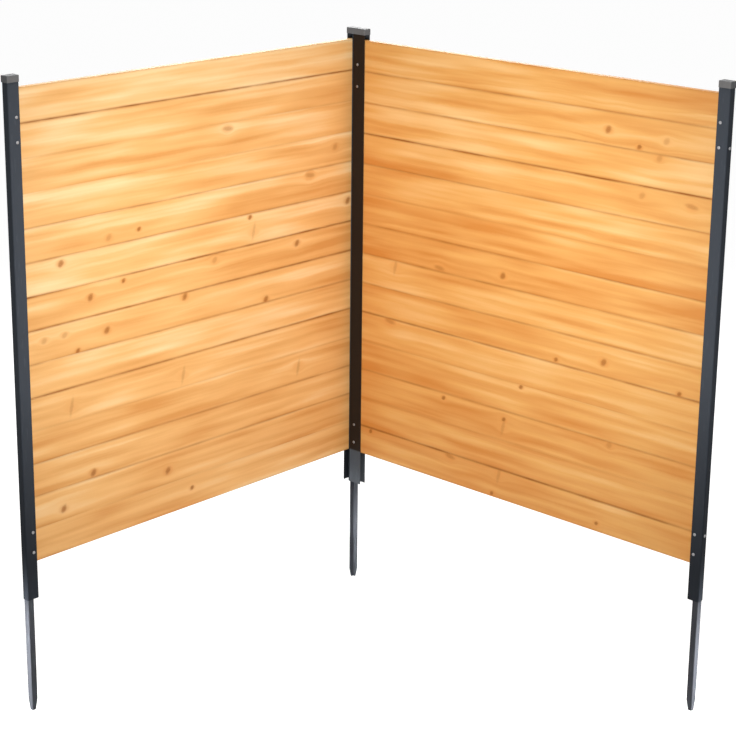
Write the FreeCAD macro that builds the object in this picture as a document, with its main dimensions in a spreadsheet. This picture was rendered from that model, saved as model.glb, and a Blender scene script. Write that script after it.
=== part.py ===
"""Garden privacy screen: two boarded panels in a V between three staked steel posts.

Frame: +Z up, the right panel runs along +X from the corner and the left panel along -Y.
The inner side of the V faces +X and -Y. The origin is the centre of the footprint, at the
level of the stake tips.
"""
import FreeCAD, Part
import math
import os
import Sketcher

UP = FreeCAD.Vector(0, 0, 1)
LEVEL = 1e-4      # how near an edge must lie to its named place, in millimetres

# ---------------------------------------------------------------- driving dimensions
SIZES = (
    # the boards of one panel
    ("board_count", "14", "boards in each panel"),
    ("board_pitch", "78", "height that each board shows"),
    ("board_thickness", "16", "thickness of a board"),
    ("visible_width", "1039", "board length that shows between the posts of one panel"),
    ("tongue_thickness", "5", "thickness of the tongue on a board's upper edge"),
    ("tongue_rise", "7", "height of the tongue"),
    ("tongue_slack", "0.3", "room round a tongue in the groove above it"),
    ("edge_chamfer", "1.2", "chamfer along a board's long edges"),
    ("board_slack", "0.25", "room between a board's faces and the flanges"),
    ("end_gap", "2", "room between a board's end and the web"),
    # the rolled channels
    ("wall", "1.5", "sheet thickness of the channels"),
    ("inner_bend", "1.5", "inside radius of the channel's bends"),
    ("post_depth", "30", "flange depth of the end posts"),
    ("corner_depth", "40", "flange depth of the corner channel that holds the right panel"),
    ("post_head", "26", "post length above the top board"),
    ("post_foot", "90", "post length below the bottom board"),
    # the ground stakes
    ("stake_leg", "15", "width of each leg of the angle"),
    ("stake_sheet", "2.5", "thickness of the angle"),
    ("stake_slack", "0.3", "room between a stake and the walls of its post"),
    ("stake_reach", "278", "stake length that shows below the post"),
    ("tip_cut_width", "6", "width of the corner cut from each leg at the tip"),
    ("tip_cut_height", "25", "height of that cut"),
    # the caps
    ("cap_wall", "1.2", "thickness of a cap's skirt"),
    ("cap_plate", "2", "thickness of a cap's top"),
    ("cap_skirt", "13", "depth of a cap's skirt below its top"),
    ("cap_slack", "0.3", "room between the skirt and the post"),
    ("cap_corner", "2.2", "radius of a cap's upright edges"),
    ("cap_round", "0.9", "radius round a cap's top"),
    # the screws
    ("screw_radius", "1.75", "radius of a screw's shank"),
    ("screw_length", "12", "length of a screw under its head"),
    ("screw_slack", "0.1", "room round a shank in its hole"),
    ("tip_round", "1", "radius round a screw's tip"),
    ("head_radius", "3.6", "radius of a screw's head"),
    ("head_height", "1.5", "height of a screw's head"),
    ("head_round", "1", "radius round a screw's head"),
    ("recess_width", "0.9", "width of each slot of the cross recess"),
    ("recess_span", "4", "length of each slot of the cross recess"),
    ("recess_depth", "0.8", "depth of the cross recess"),
    ("post_screw_edge", "9", "screw line's distance from an end post's free edges"),
    ("corner_screw_web", "16.5", "screw line's distance from the corner channel's web"),
    ("low_screw_rise", "24", "lowest screw above the bottom board's lower edge"),
    ("low_screw_drop", "5", "second screw below the bottom board's upper edge"),
    ("second_screw_rise", "38", "third screw above the lower edge of its board"),
    ("top_screw_rise", "15", "highest screw above the top board's lower edge"),
)

doc = FreeCAD.newDocument("garden_privacy_screen")
sheet = doc.addObject("Spreadsheet::Sheet", "Sizes")
for row, (alias, value, meaning) in enumerate(SIZES, start=1):
    sheet.set(f"A{row}", alias)
    sheet.set(f"B{row}", value)
    sheet.set(f"C{row}", meaning)
    sheet.setAlias(f"B{row}", alias)
doc.recompute()


def size(alias):
    """The number in the sheet's cell of that name."""
    return float(sheet.get(alias))


# -------------------------------------------- lengths that follow, as sheet expressions
# CORNER_X and CORNER_Y are where the right channel's web and the posts' backs meet.
CHANNEL_WIDTH = "(Sizes.board_thickness + 2 * Sizes.board_slack + 2 * Sizes.wall)"
FACE_INSET = "(Sizes.wall + Sizes.board_slack)"
END_INSET = "(Sizes.wall + Sizes.end_gap)"
PANEL_HEIGHT = "(Sizes.board_count * Sizes.board_pitch)"
POST_LENGTH = f"(Sizes.post_foot + {PANEL_HEIGHT} + Sizes.post_head)"
LEFT_SPAN = f"({CHANNEL_WIDTH} + Sizes.visible_width + Sizes.post_depth)"
RIGHT_SPAN = "(Sizes.corner_depth + Sizes.visible_width + Sizes.post_depth)"
CORNER_X = f"(({CHANNEL_WIDTH} - {RIGHT_SPAN}) / 2)"
CORNER_Y = f"({LEFT_SPAN} / 2)"
POST_BASE = "Sizes.stake_reach"
PANEL_BASE = f"({POST_BASE} + Sizes.post_foot)"
STAKE_INSET = "(Sizes.wall + Sizes.stake_slack)"
CAP_OVERHANG = "(Sizes.cap_slack + Sizes.cap_wall)"
SHANK_DEPTH = f"(Sizes.screw_length - {FACE_INSET})"
HOLE_RADIUS = "(Sizes.screw_radius + Sizes.screw_slack)"
POST_SCREW_LINE = "(Sizes.post_depth - Sizes.post_screw_edge)"
CORNER_SCREW_LINE = "Sizes.corner_screw_web"
MID_WIDTH = f"({CHANNEL_WIDTH} / 2)"

BOARDS = int(size("board_count"))
BOTTOM_BOARD = 0
SECOND_BOARD = BOARDS - 2
TOP_BOARD = BOARDS - 1
# screw levels: (board that takes the screw, height in that board)
LOWEST_LEVEL = (BOTTOM_BOARD, "Sizes.low_screw_rise")
LOW_LEVEL = (BOTTOM_BOARD, "(Sizes.board_pitch - Sizes.low_screw_drop)")
HIGH_LEVEL = (SECOND_BOARD, "Sizes.second_screw_rise")
HIGHEST_LEVEL = (TOP_BOARD, "Sizes.top_screw_rise")
FACE_LEVELS = (LOWEST_LEVEL, LOW_LEVEL, HIGH_LEVEL, HIGHEST_LEVEL)
END_LEVELS = (LOW_LEVEL, HIGH_LEVEL)


def post_height(level):
    """A screw level as a height above the post's lower end."""
    board, rise = level
    return f"Sizes.post_foot + {board} * Sizes.board_pitch + {rise}"


# --------------------------------------------------------------------------- helpers
def new_body(label):
    """A body whose label is the name of its file."""
    body = doc.addObject("PartDesign::Body", label)
    body.Label = label
    return body


def place(body, x, y, z, turn):
    """Puts a body at sheet expressions, turned in degrees about its own upright axis."""
    body.Placement = FreeCAD.Placement(FreeCAD.Vector(), FreeCAD.Rotation(UP, turn))
    body.setExpression("Placement.Base.x", x)
    body.setExpression("Placement.Base.y", y)
    body.setExpression("Placement.Base.z", z)


def sketch_on(body, plane, name, offset=None):
    """A sketch on one of the body's origin planes, moved along the plane's normal."""
    sketch = body.newObject("Sketcher::SketchObject", f"{body.Label}_{name}")
    support = [item for item in body.Origin.OriginFeatures if item.Role == plane][0]
    sketch.AttachmentSupport = [(support, "")]
    sketch.MapMode = "FlatFace"
    if offset:
        sketch.setExpression("AttachmentOffset.Base.z", offset)
    return sketch


def fix_point(sketch, geometry, point, x, y):
    """Ties a point of the sketch to two sheet expressions, measured from the origin."""
    for direction, distance in (("DistanceX", x), ("DistanceY", y)):
        tie = Sketcher.Constraint(direction, -1, 1, geometry, point, 1.0)
        number = sketch.addConstraint(tie)
        sketch.setExpression(f"Constraints[{number}]", distance)


def add_outline(sketch, corners):
    """A closed outline of straight edges through corners given as sheet expressions."""
    count = len(corners)
    first = sketch.GeometryCount
    step = 2 * math.pi / count
    seeds = [FreeCAD.Vector(math.cos(step * i), math.sin(step * i), 0) for i in range(count)]
    for i in range(count):
        sketch.addGeometry(Part.LineSegment(seeds[i], seeds[(i + 1) % count]))
    for i in range(count):
        following = first + (i + 1) % count
        sketch.addConstraint(Sketcher.Constraint("Coincident", first + i, 2, following, 1))
    for i, (x, y) in enumerate(corners):
        fix_point(sketch, first + i, 1, x, y)


def add_rectangle(sketch, left, low, right, high):
    """A rectangle between two corners given as sheet expressions."""
    add_outline(sketch, ((left, low), (right, low), (right, high), (left, high)))


def add_circle(sketch, x, y, radius):
    """A circle whose centre and radius are sheet expressions."""
    circle = sketch.addGeometry(Part.Circle(FreeCAD.Vector(), UP, 1.0))
    fix_point(sketch, circle, 3, x, y)
    number = sketch.addConstraint(Sketcher.Constraint("Radius", circle, 1.0))
    sketch.setExpression(f"Constraints[{number}]", radius)


def solid_feature(kind, sketch, length, backwards=False):
    """A Pad or Pocket of the sketch: Pads go along its normal, Pockets against it."""
    body = sketch.getParentGeoFeatureGroup()
    feature = body.newObject(f"PartDesign::{kind}", f"{sketch.Name}_{kind.lower()}")
    feature.Profile = sketch
    feature.setExpression("Length", length)
    feature.Reversed = backwards
    sketch.Visibility = False
    return feature


def checked_cut(sketch, length, backwards=False):
    """A Pocket that has to take something away."""
    body = sketch.getParentGeoFeatureGroup()
    doc.recompute()
    before = body.Shape.Volume
    feature = solid_feature("Pocket", sketch, length, backwards)
    doc.recompute()
    if not body.Shape.Volume < before:
        raise RuntimeError(f"{feature.Name} cuts nothing")
    return feature


def rounded(body, radius, wanted):
    """Rounds the edges of the body's tip that the function `wanted` picks."""
    doc.recompute()
    base = body.Tip
    names = [f"Edge{i}" for i, edge in enumerate(base.Shape.Edges, start=1) if wanted(edge)]
    if not names:
        raise RuntimeError(f"{body.Label} has no such edge to round")
    fillet = body.newObject("PartDesign::Fillet", f"{body.Label}_round_{len(body.Group)}")
    fillet.Base = (base, names)
    fillet.setExpression("Radius", radius)
    return fillet


def upright_at(places):
    """Picks upright edges that stand at one of the given plan places."""
    def wanted(edge):
        box = edge.BoundBox
        if box.XLength > LEVEL or box.YLength > LEVEL:
            return False
        spots = [abs(box.XMin - x) < LEVEL and abs(box.YMin - y) < LEVEL for x, y in places]
        return any(spots)
    return wanted


# -------------------------------------------------------------------------- channels
# Every channel has its web at x = 0 and its screwed flange's outer face at y = 0. It opens
# towards +x, or towards -x where `hand` is -1.
def channel(label, depth, hand, face_line, has_end_screws):
    body = new_body(label)
    side = "" if hand > 0 else "-"
    outline = sketch_on(body, "XY_Plane", "section")
    inner = f"{CHANNEL_WIDTH} - Sizes.wall"
    add_outline(outline, (
        ("0", "0"),
        (f"{side}{depth}", "0"),
        (f"{side}{depth}", "Sizes.wall"),
        (f"{side}Sizes.wall", "Sizes.wall"),
        (f"{side}Sizes.wall", inner),
        (f"{side}{depth}", inner),
        (f"{side}{depth}", CHANNEL_WIDTH),
        ("0", CHANNEL_WIDTH),
    ))
    solid_feature("Pad", outline, POST_LENGTH)
    doc.recompute()
    wall = size("wall")
    width = body.Shape.BoundBox.YMax
    rounded(body, "Sizes.inner_bend + Sizes.wall", upright_at(((0, 0), (0, width))))
    bends = ((hand * wall, wall), (hand * wall, width - wall))
    rounded(body, "Sizes.inner_bend", upright_at(bends))
    if face_line:
        holes = sketch_on(body, "XZ_Plane", "face_holes")
        for level in FACE_LEVELS:
            add_circle(holes, f"{side}{face_line}", post_height(level), HOLE_RADIUS)
        checked_cut(holes, "Sizes.wall")
    if has_end_screws:
        holes = sketch_on(body, "YZ_Plane", "end_holes")
        for level in END_LEVELS:
            add_circle(holes, MID_WIDTH, post_height(level), HOLE_RADIUS)
        checked_cut(holes, "Sizes.wall", hand > 0)
    return body


# The same frame serves the screws that go into a channel.
def screw_group(label, plane, centres, heads_backwards):
    """Screws side by side: their heads rest on the plane and their shanks go through it."""
    body = new_body(label)
    shanks = sketch_on(body, plane, "shanks")
    for x, y in centres:
        add_circle(shanks, x, y, "Sizes.screw_radius")
    solid_feature("Pad", shanks, "Sizes.screw_length", not heads_backwards)
    rounded(body, "Sizes.tip_round", rim_at(plane, "screw_length"))
    heads = sketch_on(body, plane, "heads")
    for x, y in centres:
        add_circle(heads, x, y, "Sizes.head_radius")
    solid_feature("Pad", heads, "Sizes.head_height", heads_backwards)
    rounded(body, "Sizes.head_round", rim_at(plane, "head_height"))
    sign = "-" if heads_backwards else ""
    for number, turned in enumerate((False, True)):
        long_way = "Sizes.recess_span / 2"
        short_way = "Sizes.recess_width / 2"
        reach, rise = (short_way, long_way) if turned else (long_way, short_way)
        slots = sketch_on(body, plane, f"recess_{number + 1}", f"{sign}Sizes.head_height")
        for x, y in centres:
            add_rectangle(slots, f"{x} - {reach}", f"{y} - {rise}",
                          f"{x} + {reach}", f"{y} + {rise}")
        checked_cut(slots, "Sizes.recess_depth", heads_backwards)
    return body


def rim_at(plane, distance):
    """Picks the edges that lie flat at that named distance from the plane."""
    far = size(distance)

    def wanted(edge):
        box = edge.BoundBox
        low, high = (box.YMin, box.YMax) if plane == "XZ_Plane" else (box.XMin, box.XMax)
        return high - low < LEVEL and abs(abs(low) - far) < LEVEL
    return wanted


def face_screws(label, line, hand):
    """Screws through the flange at y = 0, with their heads on the -y side."""
    side = "" if hand > 0 else "-"
    centres = [(f"{side}{line}", post_height(level)) for level in FACE_LEVELS]
    return screw_group(label, "XZ_Plane", centres, False)


def end_screws(label, hand):
    """Screws through the web at x = 0, with their heads on the outer side."""
    centres = [(MID_WIDTH, post_height(level)) for level in END_LEVELS]
    return screw_group(label, "YZ_Plane", centres, hand > 0)


# ---------------------------------------------------------------------------- boards
# A board's inner face is at y = 0, its lower edge at z = 0 and its first end at x = 0.
def board(label, length, number, first_end, last_end):
    """A tongue-and-groove board; each end says (flange screw's distance, end screw?)."""
    body = new_body(label)
    section = sketch_on(body, "YZ_Plane", "section")
    thick = "Sizes.board_thickness"
    middle = f"{thick} / 2"
    half_tongue = "Sizes.tongue_thickness / 2"
    half_groove = f"({half_tongue} + Sizes.tongue_slack)"
    groove_top = "Sizes.tongue_rise + Sizes.tongue_slack"
    pitch = "Sizes.board_pitch"
    chamfer = "Sizes.edge_chamfer"
    lower_edge = (
        ("0", chamfer),
        (chamfer, "0"),
        (f"{middle} - {half_groove}", "0"),
        (f"{middle} - {half_groove}", groove_top),
        (f"{middle} + {half_groove}", groove_top),
        (f"{middle} + {half_groove}", "0"),
        (f"{thick} - {chamfer}", "0"),
        (thick, chamfer),
    )
    tongue = (
        (f"{middle} + {half_tongue}", pitch),
        (f"{middle} + {half_tongue}", f"{pitch} + Sizes.tongue_rise"),
        (f"{middle} - {half_tongue}", f"{pitch} + Sizes.tongue_rise"),
        (f"{middle} - {half_tongue}", pitch),
    )
    upper_edge = (
        (thick, f"{pitch} - {chamfer}"),
        (f"{thick} - {chamfer}", pitch),
    ) + (tongue if number != TOP_BOARD else ()) + (
        (chamfer, pitch),
        ("0", f"{pitch} - {chamfer}"),
    )
    add_outline(section, lower_edge + upper_edge)
    solid_feature("Pad", section, length)
    face_levels = [rise for board_number, rise in FACE_LEVELS if board_number == number]
    end_levels = [rise for board_number, rise in END_LEVELS if board_number == number]
    if face_levels:
        holes = sketch_on(body, "XZ_Plane", "face_pilots")
        for rise in face_levels:
            if first_end[0]:
                line = f"{first_end[0]} - {END_INSET}"
                add_circle(holes, line, rise, HOLE_RADIUS)
            if last_end[0]:
                line = f"{length} - ({last_end[0]} - {END_INSET})"
                add_circle(holes, line, rise, HOLE_RADIUS)
        checked_cut(holes, f"{SHANK_DEPTH} + Sizes.tongue_slack")
    depth = f"Sizes.screw_length - {END_INSET} + Sizes.tongue_slack"
    if end_levels and first_end[1]:
        holes = sketch_on(body, "YZ_Plane", "first_end_pilots")
        for rise in end_levels:
            add_circle(holes, middle, rise, HOLE_RADIUS)
        checked_cut(holes, depth, True)
    if end_levels and last_end[1]:
        holes = sketch_on(body, "YZ_Plane", "last_end_pilots", length)
        for rise in end_levels:
            add_circle(holes, middle, rise, HOLE_RADIUS)
        checked_cut(holes, depth)
    return body


# ------------------------------------------------------------------- stakes and caps
def stake(label):
    """An angle with its heel on the z axis and its legs along +x and +y; z = 0 is its tip."""
    body = new_body(label)
    leg = "Sizes.stake_leg"
    sheet_thickness = "Sizes.stake_sheet"
    section = sketch_on(body, "XY_Plane", "section")
    add_outline(section, (
        ("0", "0"),
        (leg, "0"),
        (leg, sheet_thickness),
        (sheet_thickness, sheet_thickness),
        (sheet_thickness, leg),
        ("0", leg),
    ))
    solid_feature("Pad", section, "Sizes.stake_reach + Sizes.post_foot")
    rounded(body, "Sizes.inner_bend", upright_at(((0, 0),)))
    root = size("stake_sheet")
    rounded(body, "Sizes.inner_bend", upright_at(((root, root),)))
    for plane, backwards in (("XZ_Plane", False), ("YZ_Plane", True)):
        corner = sketch_on(body, plane, f"tip_cut_{plane[:2].lower()}")
        add_outline(corner, (
            (f"{leg} - Sizes.tip_cut_width", "0"),
            (leg, "0"),
            (leg, "Sizes.tip_cut_height"),
        ))
        checked_cut(corner, sheet_thickness, backwards)
    return body


def cap(label, length, width, first_x):
    """A cap over a post that spans `length` from `first_x`; z = 0 is the post's top."""
    body = new_body(label)
    outside = sketch_on(body, "XY_Plane", "outside", "-Sizes.cap_skirt")
    add_rectangle(outside, f"{first_x} - {CAP_OVERHANG}", f"-{CAP_OVERHANG}",
                  f"{first_x} + {length} + {CAP_OVERHANG}", f"{width} + {CAP_OVERHANG}")
    solid_feature("Pad", outside, "Sizes.cap_skirt + Sizes.cap_plate")
    rounded(body, "Sizes.cap_corner", lambda edge: edge.BoundBox.ZLength > LEVEL)
    top = size("cap_plate")
    rounded(body, "Sizes.cap_round", lambda edge: abs(edge.BoundBox.ZMin - top) < LEVEL)
    inside = sketch_on(body, "XY_Plane", "inside", "-Sizes.cap_skirt")
    add_rectangle(inside, f"{first_x} - Sizes.cap_slack", "-Sizes.cap_slack",
                  f"{first_x} + {length} + Sizes.cap_slack", f"{width} + Sizes.cap_slack")
    checked_cut(inside, "Sizes.cap_skirt", True)
    return body


# -------------------------------------------------------------------------- assembly
PANEL_LENGTH_LEFT = f"({LEFT_SPAN} - 2 * {END_INSET})"
PANEL_LENGTH_RIGHT = f"({RIGHT_SPAN} - 2 * {END_INSET})"
POST_TOP = f"{POST_BASE} + {POST_LENGTH}"
ALONG_LEFT = 90     # turn of a piece whose x axis points from the left post to the corner

# (x of a channel's web, y of its screwed flange, turn)
LEFT_POST_SEAT = (CORNER_X, f"{CORNER_Y} - {LEFT_SPAN}", ALONG_LEFT)
RIGHT_POST_SEAT = (f"{CORNER_X} + {RIGHT_SPAN}", f"{CORNER_Y} - {CHANNEL_WIDTH}", 0)
CORNER_SEAT = (CORNER_X, f"{CORNER_Y} - {CHANNEL_WIDTH}", 0)
CORNER_LEFT_SEAT = (CORNER_X, CORNER_Y, ALONG_LEFT)

parts = []


def seat(body, spot, height):
    """Puts a piece on a post's seat at a height, and keeps it for the hand-over."""
    x, y, turn = spot
    place(body, x, y, height, turn)
    parts.append(body)


seat(channel("left_post_channel", "Sizes.post_depth", 1, POST_SCREW_LINE, False),
     LEFT_POST_SEAT, POST_BASE)
seat(channel("right_post_channel", "Sizes.post_depth", -1, POST_SCREW_LINE, True),
     RIGHT_POST_SEAT, POST_BASE)
seat(channel("corner_right_channel", "Sizes.corner_depth", 1, CORNER_SCREW_LINE, False),
     CORNER_SEAT, POST_BASE)
seat(channel("corner_left_channel", CHANNEL_WIDTH, -1, None, True),
     CORNER_LEFT_SEAT, POST_BASE)

seat(face_screws("left_post_face_screws", POST_SCREW_LINE, 1), LEFT_POST_SEAT, POST_BASE)
seat(face_screws("right_post_face_screws", POST_SCREW_LINE, -1), RIGHT_POST_SEAT, POST_BASE)
seat(face_screws("corner_face_screws", CORNER_SCREW_LINE, 1), CORNER_SEAT, POST_BASE)
seat(end_screws("right_post_end_screws", -1), RIGHT_POST_SEAT, POST_BASE)
seat(end_screws("corner_end_screws", -1), CORNER_LEFT_SEAT, POST_BASE)

LEFT_BOARD_SEAT = (f"{CORNER_X} - {FACE_INSET}",
                   f"{CORNER_Y} - {LEFT_SPAN} + {END_INSET}", ALONG_LEFT)
RIGHT_BOARD_SEAT = (f"{CORNER_X} + {END_INSET}",
                    f"{CORNER_Y} - {CHANNEL_WIDTH} + {FACE_INSET}", 0)
for number in range(BOARDS):
    rise = f"{PANEL_BASE} + {number} * Sizes.board_pitch"
    seat(board(f"left_board_{number + 1:02d}", PANEL_LENGTH_LEFT, number,
               (POST_SCREW_LINE, False), (None, True)), LEFT_BOARD_SEAT, rise)
    seat(board(f"right_board_{number + 1:02d}", PANEL_LENGTH_RIGHT, number,
               (CORNER_SCREW_LINE, False), (POST_SCREW_LINE, True)), RIGHT_BOARD_SEAT, rise)

# an end post's stake has its heel in the bend at the screwed flange, the corner's at the back
seat(stake("left_stake"), (f"{CORNER_X} - {STAKE_INSET}",
                           f"{CORNER_Y} - {LEFT_SPAN} + {STAKE_INSET}", ALONG_LEFT), "0")
seat(stake("right_stake"), (f"{CORNER_X} + {RIGHT_SPAN} - {STAKE_INSET}",
                            f"{CORNER_Y} - {CHANNEL_WIDTH} + {STAKE_INSET}", ALONG_LEFT), "0")
seat(stake("corner_stake"), (f"{CORNER_X} + {STAKE_INSET}",
                             f"{CORNER_Y} - {STAKE_INSET}", -ALONG_LEFT), "0")

seat(cap("left_cap", "Sizes.post_depth", CHANNEL_WIDTH, "0"), LEFT_POST_SEAT, POST_TOP)
seat(cap("right_cap", "Sizes.post_depth", CHANNEL_WIDTH, "-Sizes.post_depth"),
     RIGHT_POST_SEAT, POST_TOP)
seat(cap("corner_cap", f"({CHANNEL_WIDTH} + Sizes.corner_depth)", CHANNEL_WIDTH,
         f"-{CHANNEL_WIDTH}"), CORNER_SEAT, POST_TOP)

# --------------------------------------------------------------- checks and hand-over
doc.recompute()
for item in doc.Objects:
    if {"Invalid", "Error"} & set(item.State):
        raise RuntimeError(f"{item.Name} did not recompute: {item.State}")
for part in parts:
    if part.Shape.isNull() or not part.Shape.isValid():
        raise RuntimeError(f"{part.Label} has no valid shape")

os.makedirs("parts", exist_ok=True)
for part in parts:
    part.Shape.exportStep(f"parts/{part.Label}.step")
print(len(parts), "pieces written")
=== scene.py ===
# %% [markdown]
# # A garden privacy screen, dressed for its picture
# The screen is two panels of softwood boards in a V, held by three dark steel posts on
# ground stakes. The imported frame already holds every piece at its real size, so the first
# cell loads it.

# %% Load the frame
import math

import bmesh
import bpy
from mathutils import Matrix, Vector


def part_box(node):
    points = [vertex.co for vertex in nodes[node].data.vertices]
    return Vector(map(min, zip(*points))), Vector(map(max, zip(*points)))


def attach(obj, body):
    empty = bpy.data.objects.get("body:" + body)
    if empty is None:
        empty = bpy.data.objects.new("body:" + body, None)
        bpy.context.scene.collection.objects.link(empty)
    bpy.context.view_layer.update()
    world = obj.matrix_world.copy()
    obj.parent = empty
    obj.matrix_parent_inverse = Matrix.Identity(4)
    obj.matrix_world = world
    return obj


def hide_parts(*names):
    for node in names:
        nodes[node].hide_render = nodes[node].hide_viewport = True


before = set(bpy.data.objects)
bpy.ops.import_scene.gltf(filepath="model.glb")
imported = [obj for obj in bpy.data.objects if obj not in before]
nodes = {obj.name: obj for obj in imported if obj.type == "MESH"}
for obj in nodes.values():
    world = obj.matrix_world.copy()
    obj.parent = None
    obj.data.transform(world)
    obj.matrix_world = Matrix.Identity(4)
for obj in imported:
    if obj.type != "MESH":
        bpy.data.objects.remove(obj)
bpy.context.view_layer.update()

# %% [markdown]
# ## The camera
# A picture is matched from its camera, so it comes first. It stands almost on the V's axis,
# looks a little down, and has a long lens. Its place and turn come from laying the corners
# of the two panels over the picture. A small shift of the lens puts the picture's middle off
# the camera's axis, as in a cropped picture.

# %% Camera
CAMERA_PLACE = (2.8251, -3.0633, 2.1823)    # metres
CAMERA_HEADING = 42.668     # degrees from +Y towards -X
CAMERA_DIP = 16.416         # degrees below the horizon
CAMERA_ROLL = 0.665         # degrees
CAMERA_LENS = 96.22         # millimetres
CAMERA_SHIFT = -0.068       # of the picture's width
SENSOR_WIDTH = 36.0         # millimetres
camera_data = bpy.data.cameras.new("camera")
camera_data.lens = CAMERA_LENS
camera_data.sensor_width = SENSOR_WIDTH
camera_data.shift_y = CAMERA_SHIFT
camera = bpy.data.objects.new("camera", camera_data)
turn = Matrix.Rotation(math.radians(CAMERA_HEADING), 4, "Z")
dip = Matrix.Rotation(math.radians(90.0 - CAMERA_DIP), 4, "X")
roll = Matrix.Rotation(math.radians(CAMERA_ROLL), 4, "Z")
camera.matrix_world = Matrix.Translation(CAMERA_PLACE) @ turn @ dip @ roll
bpy.context.scene.collection.objects.link(camera)
bpy.context.scene.camera = camera
bpy.context.scene.view_settings.view_transform = "Standard"

# %% [markdown]
# ## Tools for modelling by hand
# The pieces are shaped with the same operators that the Edit Mode menus call. Such an
# operator works on whatever is selected, so each step first picks its faces or edges by
# where they lie. These few helpers do the picking and keep the modelling cells short.

# %% Helpers for edit mode
MILLIMETRE = 0.001
NEAR = 0.01 * MILLIMETRE


def at(first, second):
    """Whether two lengths are the same, give or take a hair."""
    return abs(first - second) < NEAR


def begin(name):
    """Takes the primitive that was just added, settles it at the origin and opens it."""
    piece = bpy.context.object
    piece.name = name
    bpy.ops.object.transform_apply(location=True, rotation=True, scale=True)
    bpy.ops.object.mode_set(mode="EDIT")
    return piece


def pick(piece, kind, wanted):
    """Selects the EDGEs or FACEs whose corner points all pass the test."""
    bpy.ops.mesh.select_mode(type=kind)
    bpy.ops.mesh.select_all(action="DESELECT")
    mesh = bmesh.from_edit_mesh(piece.data)
    for item in mesh.edges if kind == "EDGE" else mesh.faces:
        if wanted([corner.co for corner in item.verts]):
            item.select_set(True)
    bmesh.update_edit_mesh(piece.data)


def extrude(way):
    """Pulls the selection out along a vector, leaving new faces behind it."""
    bpy.ops.mesh.extrude_region_move(TRANSFORM_OT_translate={"value": way})


def cut(place, normal):
    """Cuts the whole piece along a plane, without taking anything away."""
    bpy.ops.mesh.select_all(action="SELECT")
    bpy.ops.mesh.bisect(plane_co=place, plane_no=normal)


def close(piece, smooth_below):
    """Turns all faces outwards and shades edges flatter than the angle as one surface."""
    bpy.ops.mesh.select_all(action="SELECT")
    bpy.ops.mesh.remove_doubles(threshold=NEAR)
    bpy.ops.mesh.normals_make_consistent(inside=False)
    bpy.ops.object.mode_set(mode="OBJECT")
    bpy.ops.object.shade_smooth_by_angle(angle=math.radians(smooth_below))
    bpy.ops.object.modifier_add(type="WEIGHTED_NORMAL")
    piece.modifiers[-1].keep_sharp = True
    bpy.ops.object.modifier_apply(modifier=piece.modifiers[-1].name)


def stand_in(piece, node_name, body):
    """Lets the piece stand for a node of the frame."""
    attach(piece, body)
    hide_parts(node_name)


def open_edges(pieces):
    """How many edges don't join exactly two faces; a closed piece has none."""
    total = 0
    for piece in pieces:
        mesh = bmesh.new()
        mesh.from_mesh(piece.data)
        total += sum(len(edge.link_faces) != 2 for edge in mesh.edges)
        mesh.free()
    return total


# %% [markdown]
# ## Where the panels are
# The left panel runs along +Y and the right one along +X, both from left to right in the
# picture. Each visible part starts at the free edge of a post. These places are measured
# from the frame, so that the boards and their finish follow it.

# %% Measure the panels
SIDES = ("left", "right")
WINDOW_START = {
    "left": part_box("left_post_channel")[1].y,
    "right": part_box("corner_right_channel")[1].x,
}
left_length = (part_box("corner_left_channel")[0].y - WINDOW_START["left"]) / MILLIMETRE
panel_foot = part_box("left_board_01")[0].z
board_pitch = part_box("left_board_02")[0].z - panel_foot
board_count = sum(name.startswith("left_board") for name in nodes)
board_middle = {
    "left": sum(point.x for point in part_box("left_board_01")) / 2,
    "right": sum(point.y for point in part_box("right_board_01")) / 2,
}
print("boards in a panel:", board_count, "pitch in mm:", round(board_pitch / MILLIMETRE, 1))

# %% [markdown]
# ## The boards
# A real board is planed to one section along its whole length: a groove below, a tongue
# above, and eased edges on both faces. So the section is drawn flat first, as a plane that
# is cut where the groove's sides and roof are. The groove is deleted, the tongue is pulled
# out of the upper edge, and the whole section is then pulled out along the board.
#
# The joints of the screen don't all look alike: some stand open and draw a dark line, and
# others nearly vanish. That comes from how far the edges are eased, so each joint has its own.

# %% How open the joints are
OPEN, CLOSE, TIGHT = 1.0, 0.55, 0.2    # shares of the easing of an open joint
# from the joint above the bottom board up
LEFT_JOINTS = (
    TIGHT, CLOSE, CLOSE, TIGHT, OPEN, CLOSE, OPEN, OPEN, CLOSE, CLOSE, TIGHT, TIGHT, OPEN,
)
RIGHT_JOINTS = (
    OPEN, TIGHT, CLOSE, TIGHT, OPEN, CLOSE, CLOSE, CLOSE, TIGHT, CLOSE, OPEN, CLOSE, CLOSE,
)
JOINTS = {
    "left": (CLOSE, *LEFT_JOINTS, CLOSE),
    "right": (CLOSE, *RIGHT_JOINTS, CLOSE),
}

# %% Model a board
GROOVE_HALF = 2.8 * MILLIMETRE
GROOVE_DEPTH = 7.3 * MILLIMETRE
TONGUE_HALF = 2.5 * MILLIMETRE
TONGUE_RISE = 7.0 * MILLIMETRE
EASING = 1.1 * MILLIMETRE       # how far the edges at an open joint are cut back
EASING_STEPS = 3
BOARD_CREASE = 50               # degrees; flatter edges are shaded as one surface
UP = Vector((0, 0, 1))


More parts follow.
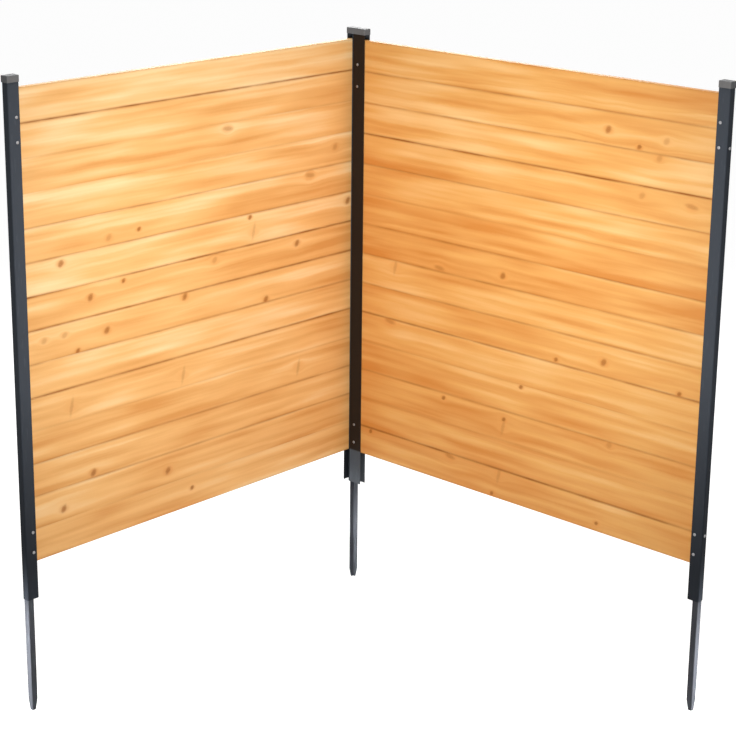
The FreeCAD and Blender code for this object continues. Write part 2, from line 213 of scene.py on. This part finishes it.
def board(side, number):
    """One board of a panel, counted from the bottom, in the place of its node."""
    low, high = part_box(f"{side}_board_{number:02d}")
    across, along = (0, 1) if side == "left" else (1, 0)
    foot = low.z
    top = foot + board_pitch
    middle = (low[across] + high[across]) / 2
    thickness = high[across] - low[across]

    def point(shift, rise):
        """A place in the section, from its middle line and the board's foot."""
        place = Vector((0, 0, foot + rise))
        place[across] = middle + shift
        place[along] = low[along]
        return place

    sideways = point(1, 0) - point(0, 0)
    turned = (math.pi / 2, 0, 0 if side == "left" else math.pi / 2)
    bpy.ops.object.select_all(action="DESELECT")
    bpy.ops.mesh.primitive_plane_add(
        size=1, location=point(0, board_pitch / 2), rotation=turned)
    bpy.context.object.scale = (thickness, board_pitch, 1)
    piece = begin(f"{side}_plank_{number:02d}")

    for half in (GROOVE_HALF, -GROOVE_HALF, TONGUE_HALF, -TONGUE_HALF):
        cut(point(half, 0), sideways)
    cut(point(0, GROOVE_DEPTH), UP)
    roof = foot + GROOVE_DEPTH + NEAR
    pick(piece, "FACE", lambda corners: all(
        corner.z < roof and abs(corner[across] - middle) < GROOVE_HALF + NEAR
        for corner in corners))
    bpy.ops.mesh.delete(type="FACE")
    if number < board_count:
        pick(piece, "EDGE", lambda corners: all(
            at(corner.z, top) and abs(corner[across] - middle) < TONGUE_HALF + NEAR
            for corner in corners))
        extrude((0, 0, TONGUE_RISE))

    length = Vector()
    length[along] = high[along] - low[along]
    bpy.ops.mesh.select_all(action="SELECT")
    extrude(length)
    for level, joint in ((foot, JOINTS[side][number - 1]), (top, JOINTS[side][number])):
        pick(piece, "EDGE", lambda corners: all(
            at(corner.z, level) and at(abs(corner[across] - middle), thickness / 2)
            for corner in corners) and not at(corners[0][along], corners[1][along]))
        bpy.ops.mesh.bevel(offset=EASING * joint, segments=EASING_STEPS, affect="EDGES")
    close(piece, BOARD_CREASE)
    stand_in(piece, f"{side}_board_{number:02d}", "frame")
    return piece


boards = {(side, number): board(side, number)
          for side in SIDES for number in range(1, board_count + 1)}
print("boards modelled:", len(boards), "open edges:", open_edges(boards.values()))

# %% [markdown]
# ## The caps
# Each post ends in a moulded plastic cap, a shallow box that slips over the steel. Mould
# makers round every outer edge so that the plastic flows and the cap leaves the mould, and
# they hollow it to an even wall round the sides. So a block is rounded with bevels, its
# underside is inset by the wall's thickness, and the inset face is pushed up to make the
# hollow.

# %% Model the caps
CAP_WALL = 1.2 * MILLIMETRE
CAP_HOLLOW = 13.0 * MILLIMETRE
CAP_CORNER = 2.2 * MILLIMETRE
CAP_RIM = 1.3 * MILLIMETRE
CORNER_STEPS, RIM_STEPS = 6, 4
CAP_CREASE = 40                 # degrees


def moulded_cap(post):
    """The cap of one post, in the place of its node."""
    low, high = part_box(f"{post}_cap")
    bpy.ops.object.select_all(action="DESELECT")
    bpy.ops.mesh.primitive_cube_add(size=1, location=(low + high) / 2)
    bpy.context.object.scale = high - low
    piece = begin(f"{post}_moulded_cap")
    pick(piece, "EDGE", lambda corners: not at(corners[0].z, corners[1].z))
    bpy.ops.mesh.bevel(offset=CAP_CORNER, segments=CORNER_STEPS, affect="EDGES")
    pick(piece, "FACE", lambda corners: all(at(corner.z, low.z) for corner in corners))
    bpy.ops.mesh.inset(thickness=CAP_WALL, depth=0)
    extrude((0, 0, CAP_HOLLOW))
    pick(piece, "FACE", lambda corners: all(at(corner.z, high.z) for corner in corners))
    bpy.ops.mesh.region_to_loop()
    bpy.ops.mesh.bevel(offset=CAP_RIM, segments=RIM_STEPS, affect="EDGES")
    close(piece, CAP_CREASE)
    stand_in(piece, f"{post}_cap", f"{post}_cap_body")
    return piece


caps = [moulded_cap(post) for post in ("left", "corner", "right")]
print("caps modelled:", len(caps), "open edges:", open_edges(caps))

# %% [markdown]
# ## Shader maths as plain formulas
# A finish is a web of nodes, and a formula such as `1 - mask` is easier to read than its
# wires. `Signal` wraps a socket and turns Python's signs into Math nodes, and `Finish` is a
# material under construction, whose `node` method adds any node at all.


# %% Signal and Finish
class Signal:
    """A value that changes over a surface: the socket that carries it."""

    def __init__(self, finish, socket):
        self.finish = finish
        self.socket = socket

    def other(self, name):
        """Another output of the same node."""
        return Signal(self.finish, self.socket.node.outputs[name])

    def math(self, operation, first, second=0.0):
        """The result of a Math node."""
        values = {0: first, 1: second}
        return self.finish.node("ShaderNodeMath", {"operation": operation}, values)

    def __add__(self, number):
        return self.math("ADD", self, number)

    def __radd__(self, number):
        return self.math("ADD", number, self)

    def __sub__(self, number):
        return self.math("SUBTRACT", self, number)

    def __rsub__(self, number):
        return self.math("SUBTRACT", number, self)

    def __mul__(self, number):
        return self.math("MULTIPLY", self, number)

    def __rmul__(self, number):
        return self.math("MULTIPLY", number, self)

    def __truediv__(self, number):
        return self.math("DIVIDE", self, number)

    def __rtruediv__(self, number):
        return self.math("DIVIDE", number, self)

    def at_least(self, number):
        return self.math("MAXIMUM", self, number)

    def at_most(self, number):
        return self.math("MINIMUM", self, number)

    def root(self):
        return self.math("SQRT", self)

    def fraction(self):
        return self.math("FRACT", self)

    def bell(self):
        """1 where the value is 0, falling softly to 0 on both sides."""
        return self.math("EXPONENT", self * self * -1.0)


class Finish:
    """A material under construction."""

    def __init__(self, name):
        self.material = bpy.data.materials.new(name)
        self.material.use_nodes = True
        self.tree = self.material.node_tree
        self.shader = self.tree.nodes["Principled BSDF"]

    def feed(self, socket, value):
        """Links a signal to a socket, or sets the socket to a plain value."""
        if isinstance(value, Signal):
            self.tree.links.new(value.socket, socket)
        else:
            socket.default_value = value

    def node(self, kind, settings=None, values=None, output=0):
        """Adds a node: its settings first, then the values or links of its sockets."""
        made = self.tree.nodes.new(kind)
        for name, setting in (settings or {}).items():
            if name == "stops":
                self.set_stops(made.color_ramp, setting)
            else:
                setattr(made, name, setting)
        for name, value in (values or {}).items():
            self.feed(made.inputs[name], value)
        return Signal(self, made.outputs[output])

    def set_stops(self, ramp, stops):
        """Gives a colour ramp its places and colours."""
        while len(ramp.elements) < len(stops):
            ramp.elements.new(0.5)
        for element, (position, colour) in zip(ramp.elements, stops):
            element.position = position
            element.color = (*colour, 1.0)

    def split(self):
        """The surface's place along X, Y and Z, in metres."""
        place = self.node("ShaderNodeTexCoord", output="Object")
        first = self.node("ShaderNodeSeparateXYZ", values={0: place})
        return first, first.other("Y"), first.other("Z")

    def noise(self, x, y, z, detail=2.0, roughness=0.5):
        """Soft noise from 0 to 1, whose cells are one unit of x, y and z wide."""
        where = self.node("ShaderNodeCombineXYZ", values={0: x, 1: y, 2: z})
        values = {"Vector": where, "Scale": 1.0, "Detail": detail, "Roughness": roughness}
        return self.node("ShaderNodeTexNoise", values=values)

    def mix(self, factor, first, second):
        """A colour between two others."""
        values = {0: factor, 6: first, 7: second}
        settings = {"data_type": "RGBA", "clamp_factor": True}
        return self.node("ShaderNodeMix", settings, values, output=2)

    def ramp(self, factor, stops):
        """A colour read off a row of (place, colour) stops."""
        return self.node("ShaderNodeValToRGB", {"stops": stops}, {0: factor})

    def bump(self, height, depth):
        """Relief of the given depth, in metres."""
        return self.node("ShaderNodeBump", values={"Height": height, "Distance": depth})

    def surface(self, **values):
        """Sets the shader's own sockets; Base_Color stands for Base Color, and so on."""
        for name, value in values.items():
            self.feed(self.shader.inputs[name.replace("_", " ")], value)
        return self.material


def rgba(colour):
    """A colour with full cover."""
    return (*colour, 1.0)


def give(piece, material):
    """Puts a finish on a piece."""
    piece.data.materials.clear()
    piece.data.materials.append(material)


# %% [markdown]
# ## The wood
# The boards are stained softwood, sawn flat from the log. A real board is a slice through
# growth rings, so the finish is built the same way: rings round a pith that lies behind the
# board's face, drawn out along its length. Round each knot the fibres part like water round
# a stone, and the formula of such a flow bends the rings there before they are coloured.
#
# Each board is its own piece of tree: it has its own pith, one of six tones, and its own
# knots, near where the picture shows them. The upper boards' tones are paler partly as
# painted light from above. The left panel is paler than the right one, whose stains carry
# painted shade and painted warm bounce light.

# %% Tones and knots of the boards
# how pale each board is, from the bottom up, in six coarse steps;
# the upper boards are paler partly as painted light from above
DEEP, DARK, AMBER, HONEY, LIGHT, PALE = 0.25, 0.33, 0.41, 0.52, 0.62, 0.72
LEFT_TONES_AND_TOP_LIGHT = (AMBER, AMBER, DARK, DARK, AMBER, HONEY, HONEY, DARK, LIGHT, HONEY, HONEY,
              HONEY, HONEY, PALE)
RIGHT_TONES_AND_TOP_LIGHT = (DARK, DARK, DARK, AMBER, HONEY, AMBER, HONEY, DEEP, DEEP, HONEY, HONEY,
               LIGHT, LIGHT, HONEY)
TONES_AND_TOP_LIGHT = {"left": LEFT_TONES_AND_TOP_LIGHT, "right": RIGHT_TONES_AND_TOP_LIGHT}
# how much paler a board's upper edge is, and the boards where that stands out
RISE, STRONG_RISE = 0.07, 0.30
STRONG_RISERS = {("left", 10), ("left", 11), ("left", 13)}

# kinds of knot: (long radius, short radius, turn from the board's line, how dark),
# in millimetres and degrees
PIN = (5.4, 4.3, 40.0, 0.90)
ROUND = (8.4, 6.0, 55.0, 0.80)
FAINT = (8.0, 6.0, 40.0, 0.32)
WIDE = (15.0, 5.0, -8.0, 0.45)
SPIKE = (20.0, 4.5, 78.0, 0.28)
# knots of each board: (board from the bottom, along the panel, above the board's foot, kind)
LEFT_KNOTS = (
    (1, 479, 47, PIN), (2, 83, 26, ROUND), (2, 402, 33, ROUND), (3, 173, 12, ROUND),
    (4, 848, 39, SPIKE), (5, 115, 32, SPIKE), (5, 456, 30, SPIKE), (7, 44, 48, FAINT),
    (7, 102, 50, FAINT), (7, 139, 5, PIN), (7, 225, 36, ROUND), (7, 465, 68, ROUND),
    (7, 734, 8, ROUND), (8, 179, 45, ROUND), (8, 277, 65, PIN), (8, 563, 62, FAINT),
    (8, 843, 53, ROUND), (9, 98, 61, ROUND), (9, 681, 69, PIN), (9, 693, 32, SPIKE),
    (9, 1027, 56, ROUND), (10, 237, 19, FAINT), (10, 327, 23, PIN), (10, 889, 65, WIDE),
    (11, 979, 46, FAINT), (12, 610, 63, WIDE),
)
RIGHT_KNOTS = (
    (1, 35, 69, PIN), (1, 309, 70, WIDE), (1, 448, 9, PIN), (1, 468, 62, SPIKE),
    (1, 770, 20, PIN), (3, 283, 64, PIN), (3, 479, 55, PIN), (3, 477, 34, SPIKE),
    (3, 797, 70, FAINT), (4, 529, 73, PIN), (5, 98, 70, WIDE), (6, 631, 10, PIN),
    (6, 770, 34, ROUND), (6, 983, 7, PIN), (7, 113, 62, SPIKE), (8, 260, 9, WIDE),
    (8, 462, 28, ROUND), (11, 854, 56, FAINT), (11, 987, 52, WIDE), (12, 895, 68, FAINT),
    (13, 753, 37, ROUND), (13, 840, 9, PIN), (13, 912, 32, FAINT),
)
KNOTS = {"left": LEFT_KNOTS, "right": RIGHT_KNOTS}
print("knots:", len(LEFT_KNOTS), "left,", len(RIGHT_KNOTS), "right")

# %% [markdown]
# A board's colours run from amber, through honey, to pale cream. The late wood of each ring
# is a thin darker band with one sharp side, which a ramp draws. The fine lines stay faint,
# because satin stain evens them out, and the broad bands of sapwood carry the figure.

# %% Stains and lengths
# the right panel's deeper, more orange stains are painted shade and painted warm bounce light
STAIN_AND_PANEL_SHADE = {
    "left": ((0.68, 0.310, 0.085), (0.83, 0.465, 0.170), (0.92, 0.655, 0.345)),
    "right": ((0.61, 0.240, 0.050), (0.73, 0.375, 0.110), (0.84, 0.535, 0.230)),
}
KNOT_BROWN = (0.27, 0.085, 0.012)
KNOT_HALO = (0.66, 0.245, 0.048)
GROOVE_BROWN = (0.31, 0.095, 0.010)
RING_GAP = 5.5            # millimetres between growth rings
SEASON_GAP = 15.0         # millimetres between bands of slow and fast years
PITH_DEPTH = 55.0         # millimetres from the boards' middle to the pith behind them
GROOVE_REACH = 3.0        # millimetres that the stain gathers beside a joint
# painted shade: the boards darken towards the corner
PAINTED_CORNER_REACH = 110.0      # millimetres over which the boards darken towards the corner
LATE_WOOD = ((0.0, (0, 0, 0)), (0.55, (0.2,) * 3), (0.86, (1, 1, 1)), (1.0, (0, 0, 0)))
SLOW_YEARS = ((0.0, (0, 0, 0)), (0.30, (0.35,) * 3), (0.80, (1, 1, 1)), (1.0, (0, 0, 0)))
print("stains for", len(STAIN_AND_PANEL_SHADE), "panels, in", len(STAIN_AND_PANEL_SHADE["left"]), "steps each")

# %% [markdown]
# A knot does two things. It parts the fibres, as a round stone parts a stream: what passes
# above it is pushed up, and what passes below it down. It also has a dark core with fine
# rings of its own, and a warmer halo round the core.

# %% Part the fibres round the knots
FLOW_LONG, FLOW_HIGH = 2.0, 1.3            # reach of the parted fibres, in knot radii
KNOT_RINGS, KNOT_RING_SHADE = 2.3, 0.35    # rings inside a knot: how many and how faint
CORE_FADE, HALO_FADE = 0.8, 0.9            # how fast a core and a halo fade outwards
HALO_SHARE = 0.6                           # how strong a halo is beside its core


def part_round_knots(side, number, along, up):
    """The height of the fibres once the knots part them, and masks of cores and halos."""
    parted = up
    core = halo = None
    for at_board, knot_along, knot_up, (long_radius, short_radius, turn, dark) in KNOTS[side]:
        if at_board != number:
            continue
        away = along - float(knot_along)
        above = up - float(knot_up)
        radius = math.sqrt(long_radius * short_radius)
        lengthwise = away / (FLOW_LONG * radius)
        upwards = above / (FLOW_HIGH * radius)
        reach = lengthwise * lengthwise + upwards * upwards
        parted = parted - above / reach.at_least(1.0)
        cosine = math.cos(math.radians(turn))
        sine = math.sin(math.radians(turn))
        longways = (away * cosine + above * sine) / long_radius
        shortways = (above * cosine - away * sine) / short_radius
        distance = (longways * longways + shortways * shortways).root()
        growth = (distance * KNOT_RINGS).fraction() * KNOT_RING_SHADE
        this_core = (distance * distance * CORE_FADE).bell() * (1.0 - growth) * dark
        this_halo = (reach * HALO_FADE).bell() * (dark * HALO_SHARE)
        core = this_core if core is None else core.at_least(this_core)
        halo = this_halo if halo is None else halo.at_least(this_halo)
    return parted, core, halo


# %% Growth rings
PITH_LEAN = 0.012          # how far the pith may lean along the board, as a slope
PITH_SWAY = 0.45           # how far it may lie off the board's middle, in board heights
SWAY_PACE = 1.7            # makes lean and sway differ from board to board
SLOW_ALONG, SLOW_UP = 320.0, 160.0      # millimetres over which the rings wander
SLOW_HEIGHT, SLOW_DEPTH = 34.0, 10.0    # millimetres that they wander by
RING_RIPPLE = 0.25         # how uneven a ring's edge is, in rings


def growth_rings(finish, seed, place, parted, ripple):
    """Masks of the late wood and of the slow years, rings round a pith behind the board."""
    along, up, across = place
    lean = math.sin(seed) * PITH_LEAN
    pith_up = board_pitch / MILLIMETRE * (0.5 + PITH_SWAY * math.sin(seed * SWAY_PACE))
    slow = finish.noise(along / SLOW_ALONG + seed, up / SLOW_UP, 0.0) - 0.5
    height = parted - pith_up - along * lean + slow * SLOW_HEIGHT
    depth = across - PITH_DEPTH + slow * SLOW_DEPTH
    radius = (height * height + depth * depth).root()
    ring = finish.ramp((radius / RING_GAP + ripple * RING_RIPPLE).fraction(), LATE_WOOD)
    season = finish.ramp((radius / SEASON_GAP).fraction(), SLOW_YEARS)
    return ring, season


# %% Stain in the joints
STAIN_RUN = 130.0          # millimetres along a joint over which its stain comes and goes
JOINT_STEP = 3.7           # puts each joint in another part of the noise
JOINT_START = {"left": 200.0, "right": 250.0}
STAIN_GAIN, STAIN_BASE = 1.8, 0.2       # stretch the noise so that some stretches stay clean
STAIN_STRENGTH = 0.95


def joint_stain(finish, side, number, along, up):
    """Where stain gathers beside the board's two joints, more where a joint stands open."""
    edges = []
    for joint, inwards in ((number - 1, up), (number, board_pitch / MILLIMETRE - up)):
        spot = joint * JOINT_STEP + JOINT_START[side]
        gathered = finish.noise(along / STAIN_RUN, spot, 0.0) * STAIN_GAIN - STAIN_BASE
        openness = JOINTS[side][joint] * STAIN_STRENGTH
        edges.append((inwards / GROOVE_REACH).bell() * gathered * openness)
    return edges[0].at_least(edges[1])


# %% The finish of one board
BOARD_STEP, RIGHT_START = 7.31, 131.7      # put each board in another part of the noise
WANDER, JITTER, SLIP = 5.0, 2.2, 5.0       # millimetres that the knots' outlines stray
BAND, STREAK, PATCH, FIBRE = 1.10, 0.19, 1.05, 0.05    # shares of the noises in the figure
RING_SHADE, SEASON_SHADE, PAINTED_CORNER_SHADE = 0.05, 0.16, 0.15
FIGURE_LIFT = 0.08
WOOD_ROUGHNESS, RING_ROUGHNESS, FIBRE_ROUGHNESS = 0.46, 0.10, 0.15
WOOD_GLOSS = 0.25
WOOD_RELIEF = 0.22 * MILLIMETRE
FIBRE_RELIEF, RING_RELIEF, RIPPLE_RELIEF = 0.6, 0.35, 0.25


def board_finish(side, number):
    """The finish of one board, counted from the bottom."""
    finish = Finish(f"{side}_board_wood_{number:02d}")
    x, y, z = finish.split()
    along = ((y if side == "left" else x) - WINDOW_START[side]) / MILLIMETRE
    across = ((x if side == "left" else y) - board_middle[side]) / MILLIMETRE
    pitch = board_pitch / MILLIMETRE
    up = (z - (panel_foot + (number - 1) * board_pitch)) / MILLIMETRE
    seed = number * BOARD_STEP + (0.0 if side == "left" else RIGHT_START)

    # a slow wander keeps the outlines of knots and rings from being drawn with a ruler
    drift = finish.noise(along / 90.0 + seed, up / 30.0, across / 30.0) - 0.5
    ripple = finish.noise(along / 9.0, up / 5.0 + seed, across / 5.0, 3.0) - 0.5
    here_up = up + drift * WANDER + ripple * JITTER
    here_along = along + ripple * SLIP
    parted, core, halo = part_round_knots(side, number, here_along, here_up)
    ring, season = growth_rings(finish, seed, (along, up, across), parted, ripple)

    # each noise is divided by the length, height and depth of its cells in millimetres
    band = finish.noise(along / 620.0 + seed, parted / 22.0, across / 34.0, 2.0) - 0.5
    streak = finish.noise(along / 260.0 + seed, parted / 7.0, across / 7.0, 3.0) - 0.5
    patch = finish.noise(along / 240.0, parted / 34.0 + seed, across / 34.0, 1.0) - 0.5
    fibre = finish.noise(along / 40.0, parted / 0.9 + seed, across / 0.9, 2.0) - 0.5
    # the tone holds painted light: upper boards are paler as if lit from above
    pale = TONES_AND_TOP_LIGHT[side][number - 1]
    rise = STRONG_RISE if (side, number) in STRONG_RISERS else RISE
    figure = pale + (up / pitch - 0.5) * rise + band * BAND + streak * STREAK + patch * PATCH
    figure = figure + fibre * FIBRE - ring * RING_SHADE + FIGURE_LIFT - season * SEASON_SHADE
    # painted shade darkens the boards towards the corner, where less light reaches them
    to_corner = along if side == "right" else left_length - along
    figure = figure - (to_corner / PAINTED_CORNER_REACH).bell() * PAINTED_CORNER_SHADE
    amber, honey, cream = STAIN_AND_PANEL_SHADE[side]
    colour = finish.ramp(figure, ((0.0, amber), (0.5, honey), (1.0, cream)))
    if core is not None:
        colour = finish.mix(halo, colour, rgba(KNOT_HALO))
        colour = finish.mix(core, colour, rgba(KNOT_BROWN))
    darkened = joint_stain(finish, side, number, along, up)
    colour = finish.mix(darkened, colour, rgba(GROOVE_BROWN))

    relief = fibre * FIBRE_RELIEF - ring * RING_RELIEF + ripple * RIPPLE_RELIEF
    finish.surface(
        Base_Color=colour,
        Roughness=WOOD_ROUGHNESS + ring * RING_ROUGHNESS + fibre * FIBRE_ROUGHNESS,
        Specular_IOR_Level=WOOD_GLOSS,
        Normal=finish.bump(relief, WOOD_RELIEF),
    )
    return finish.material


for (side, number), piece in boards.items():
    give(piece, board_finish(side, number))
print("boards finished:", len(boards))

# %% [markdown]
# ## The steel
# The posts and stakes are rolled steel under a dark powder coat. Such a coat melts into a
# skin with a faint orange-peel relief, and it is paler and duller where it is rubbed, most of
# all on the stakes. The caps are a dull dark grey plastic with a fine moulded grain, and the
# screws are bright zinc. The corner post's face, which stands between the two panels, gets
# the coat in paler greys as painted light, and down to the foot of the boards it gets painted
# shade, tinted brown as a painted reflection of the boards. The end posts and the corner's
# shallower channel get painted shade that darkens them towards their feet.


# %% Powder coat, plastic and zinc
# painted shade: the posts' coat darkens towards their feet
SHADE_FROM, SHADE_TO = 0.36, 0.78  # heights between which the dark foot fades, in metres
PAINTED_FOOT_SHADE = 0.45                  # how much of the coat's colour is left at the foot
RUB_START, RUB_GAIN = 0.56, 7.0    # where the rubbed spots begin and how sharp they are
RUB_PALER = 2.2                    # how much paler they are than the coat
PEEL_RELIEF = 0.03 * MILLIMETRE
# cells of each noise in a metre, across and up a post
CLOUDS, CLOUDS_UP = 11.0, 4.0
RUBS, RUBS_UP = 160.0, 22.0
PEEL = 900.0
SPANGLES = 700.0
CLOUD_ROUGHNESS, RUB_ROUGHNESS, SPANGLE_ROUGHNESS = 0.10, 0.12, 0.15
ZINC_DARK, ZINC_PALE = (0.22, 0.22, 0.23), (0.42, 0.42, 0.43)
ZINC_ROUGHNESS = 0.34
# painted shade, tinted brown as a painted reflection of the boards, on the corner face between
# the panels
PAINTED_BETWEEN_SHADE = (0.024, 0.016, 0.011)
BETWEEN_SHADE_EDGE = 4.0 * MILLIMETRE      # over which the painted shade ends at the boards' foot
FACE_EDGE = 3.0 * MILLIMETRE       # over which it ends behind the post's face


def coat_finish(name, dark, pale, roughness, gloss, scuff, darkened=False, painted_foot_shade=False):
    """A coat or a plastic between two greys, rubbed paler where the scuffs are."""
    finish = Finish(name)
    x, y, z = finish.split()
    cloud = finish.noise(x * CLOUDS, y * CLOUDS, z * CLOUDS_UP, 3.0)
    peel = finish.noise(x * PEEL, y * PEEL, z * PEEL, 1.0)
    rubbed = finish.noise(x * RUBS, y * RUBS, z * RUBS_UP, 4.0, 0.65)
    rub = ((rubbed - RUB_START) * RUB_GAIN).at_least(0.0).at_most(1.0) * scuff
    colour = finish.mix(cloud, rgba(dark), rgba(pale))
    colour = finish.mix(rub, colour, rgba(tuple(part * RUB_PALER for part in pale)))
    # painted shade darkens the coat towards the foot
    if painted_foot_shade:
        risen = ((z - SHADE_FROM) / (SHADE_TO - SHADE_FROM)).at_least(0.0).at_most(1.0)
        colour = finish.mix(risen, rgba(tuple(part * PAINTED_FOOT_SHADE for part in dark)), colour)
    # painted shade and a painted brown reflection between the two panels
    if darkened:
        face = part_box("corner_right_channel")[0].y
        above = ((z - panel_foot) / BETWEEN_SHADE_EDGE).at_least(0.0).at_most(1.0)
        behind = ((y - face) / FACE_EDGE).at_least(0.0).at_most(1.0)
        between = above * (1.0 - behind)
        colour = finish.mix(between, colour, rgba(PAINTED_BETWEEN_SHADE))
    finish.surface(
        Base_Color=colour,
        Roughness=roughness + cloud * CLOUD_ROUGHNESS + rub * RUB_ROUGHNESS,
        Specular_IOR_Level=gloss,
        Normal=finish.bump(peel, PEEL_RELIEF),
    )
    return finish.material


def zinc_finish():
    """Bright zinc on the screws."""
    finish = Finish("zinc_screw")
    x, y, z = finish.split()
    spangle = finish.noise(x * SPANGLES, y * SPANGLES, z * SPANGLES, 2.0)
    finish.surface(
        Base_Color=finish.mix(spangle, rgba(ZINC_DARK), rgba(ZINC_PALE)),
        Metallic=1.0,
        Roughness=ZINC_ROUGHNESS + spangle * SPANGLE_ROUGHNESS,
    )
    return finish.material


# after the two greys: roughness, gloss and how strong the scuffs are
post_coat = coat_finish("post_powder_coat", (0.044, 0.052, 0.065), (0.060, 0.069, 0.083),
                        0.50, 0.04, 0.15, painted_foot_shade=True)
stake_coat = coat_finish("stake_powder_coat", (0.038, 0.041, 0.049), (0.058, 0.062, 0.071),
                         0.45, 0.06, 0.3)
cap_plastic = coat_finish("cap_plastic", (0.090, 0.090, 0.092), (0.135, 0.135, 0.137),
                          0.50, 0.40, 0.1)
# the corner face: the posts' coat in paler greys as painted light, with painted shade between
# the panels
painted_lit_corner_coat = coat_finish("corner_powder_coat_painted_lit", (0.066, 0.073, 0.083),
                          (0.084, 0.092, 0.104), 0.50, 0.04, 0.15, darkened=True)
KINDS = (("post_channel", post_coat), ("corner_right_channel", painted_lit_corner_coat),
         ("corner_left_channel", post_coat), ("stake", stake_coat), ("screws", zinc_finish()))
for name, node in nodes.items():
    for word, material in KINDS:
        if word in name:
            give(node, material)
for cap in caps:
    give(cap, cap_plastic)
coated = [name for name in nodes if any(word in name for word, material in KINDS)]
print("steel and screws finished:", len(coated), "nodes")

# %% [markdown]
# ## Floor and light
# The picture shows the screen on plain white. A wide floor carries its soft shadow. It glows
# for the camera and in reflections until it is white, while it throws less than half of the
# light back. A softbox in the V's mouth lights both panels and the posts' inner flanges,
# and it never reaches the posts' outer sides, which stay dark as in the picture. The boards
# near the corner lie further from it and turn darker, and painted shade in their finish
# darkens them there as well. A high sun lights the floor, a second softbox lifts the upper
# boards, and three low lamps draw the stakes' legs. The back, which the picture doesn't show,
# has a softbox of its own.

# %% Floor and world
FLOOR_SIZE = 60.0
FLOOR_ALBEDO = 0.45
FLOOR_GLOW = 0.74      # what is added for the camera, to make the lit floor white
FLOOR_DROP = 0.5 * MILLIMETRE
bpy.ops.object.select_all(action="DESELECT")
bpy.ops.mesh.primitive_plane_add(size=FLOOR_SIZE, location=(0, 0, -FLOOR_DROP))
floor = begin("floor")
bpy.ops.object.mode_set(mode="OBJECT")

studio = Finish("studio_floor")
rays = studio.node("ShaderNodeLightPath", output="Is Camera Ray")
seen = rays.at_least(rays.other("Is Glossy Ray")).at_least(rays.other("Is Transmission Ray"))
white = rgba((1.0, 1.0, 1.0))
black = rgba((0.0, 0.0, 0.0))
studio.surface(
    Base_Color=rgba((FLOOR_ALBEDO,) * 3),
    Roughness=0.9,
    Specular_IOR_Level=0.0,
    Emission_Color=studio.mix(seen, black, white),
    Emission_Strength=FLOOR_GLOW,
)
give(floor, studio.material)

WORLD_LIGHT = 0.24
world = bpy.data.worlds.new("studio_world")
bpy.context.scene.world = world
world.use_nodes = True
tree = world.node_tree
rays = tree.nodes.new("ShaderNodeLightPath")
background = tree.nodes["Background"]
background.inputs["Color"].default_value = white
seen = None
for kind in ("Is Camera Ray", "Is Glossy Ray", "Is Transmission Ray"):
    either = tree.nodes.new("ShaderNodeMath")
    either.operation = "MAXIMUM"
    tree.links.new(rays.outputs[kind], either.inputs[0])
    if seen is None:
        either.inputs[1].default_value = WORLD_LIGHT
    else:
        tree.links.new(seen, either.inputs[1])
    seen = either.outputs[0]
tree.links.new(seen, background.inputs["Strength"])
print("floor and world made; the world lights with", WORLD_LIGHT)


# %% Lamps
def lamp(kind, name, place, target, power, **settings):
    """A lamp that faces its target and that the camera doesn't see."""
    light = bpy.data.lights.new(name, kind)
    light.energy = power
    for setting, value in settings.items():
        setattr(light, setting, value)
    made = bpy.data.objects.new(name, light)
    made.location = place
    way = Vector(target) - Vector(place)
    made.rotation_euler = way.to_track_quat("-Z", "Y").to_euler()
    made.visible_camera = False
    bpy.context.scene.collection.objects.link(made)


# each lamp's place, its target and its power
SUN_WIDTH = math.radians(40)
WIDE_BEAM, NARROW_BEAM = math.radians(20), math.radians(10)
LEFT_FOOT = (-0.555, -0.545, 0.12)
CORNER_FOOT = (-0.555, 0.545, 0.12)
RIGHT_FOOT = (0.565, 0.545, 0.12)
lamp("SUN", "sun", (1.0, -1.0, 5.0), (0, 0, 0), 0.95, angle=SUN_WIDTH)
lamp("AREA", "mouth_softbox", (0.42, -0.42, 1.15), (-0.55, 0.55, 0.85), 10.5, size=0.5)
lamp("AREA", "top_softbox", (0.1, -0.1, 3.4), (-0.1, 0.1, 0.0), 26.0, size=0.9)
lamp("AREA", "back_softbox", (-2.3, 2.3, 2.0), (-0.1, 0.1, 0.8), 75.0, size=2.2)
lamp("AREA", "left_kicker", (-0.95, -1.45, 0.45), LEFT_FOOT, 1.6,
     size=0.25, spread=WIDE_BEAM)
lamp("AREA", "corner_kicker", (-0.35, -1.60, 0.34), CORNER_FOOT, 0.5,
     size=0.15, spread=NARROW_BEAM)
lamp("AREA", "right_kicker", (1.45, 0.95, 0.45), RIGHT_FOOT, 1.6,
     size=0.25, spread=WIDE_BEAM)
print("lamps:", len(bpy.data.lights))
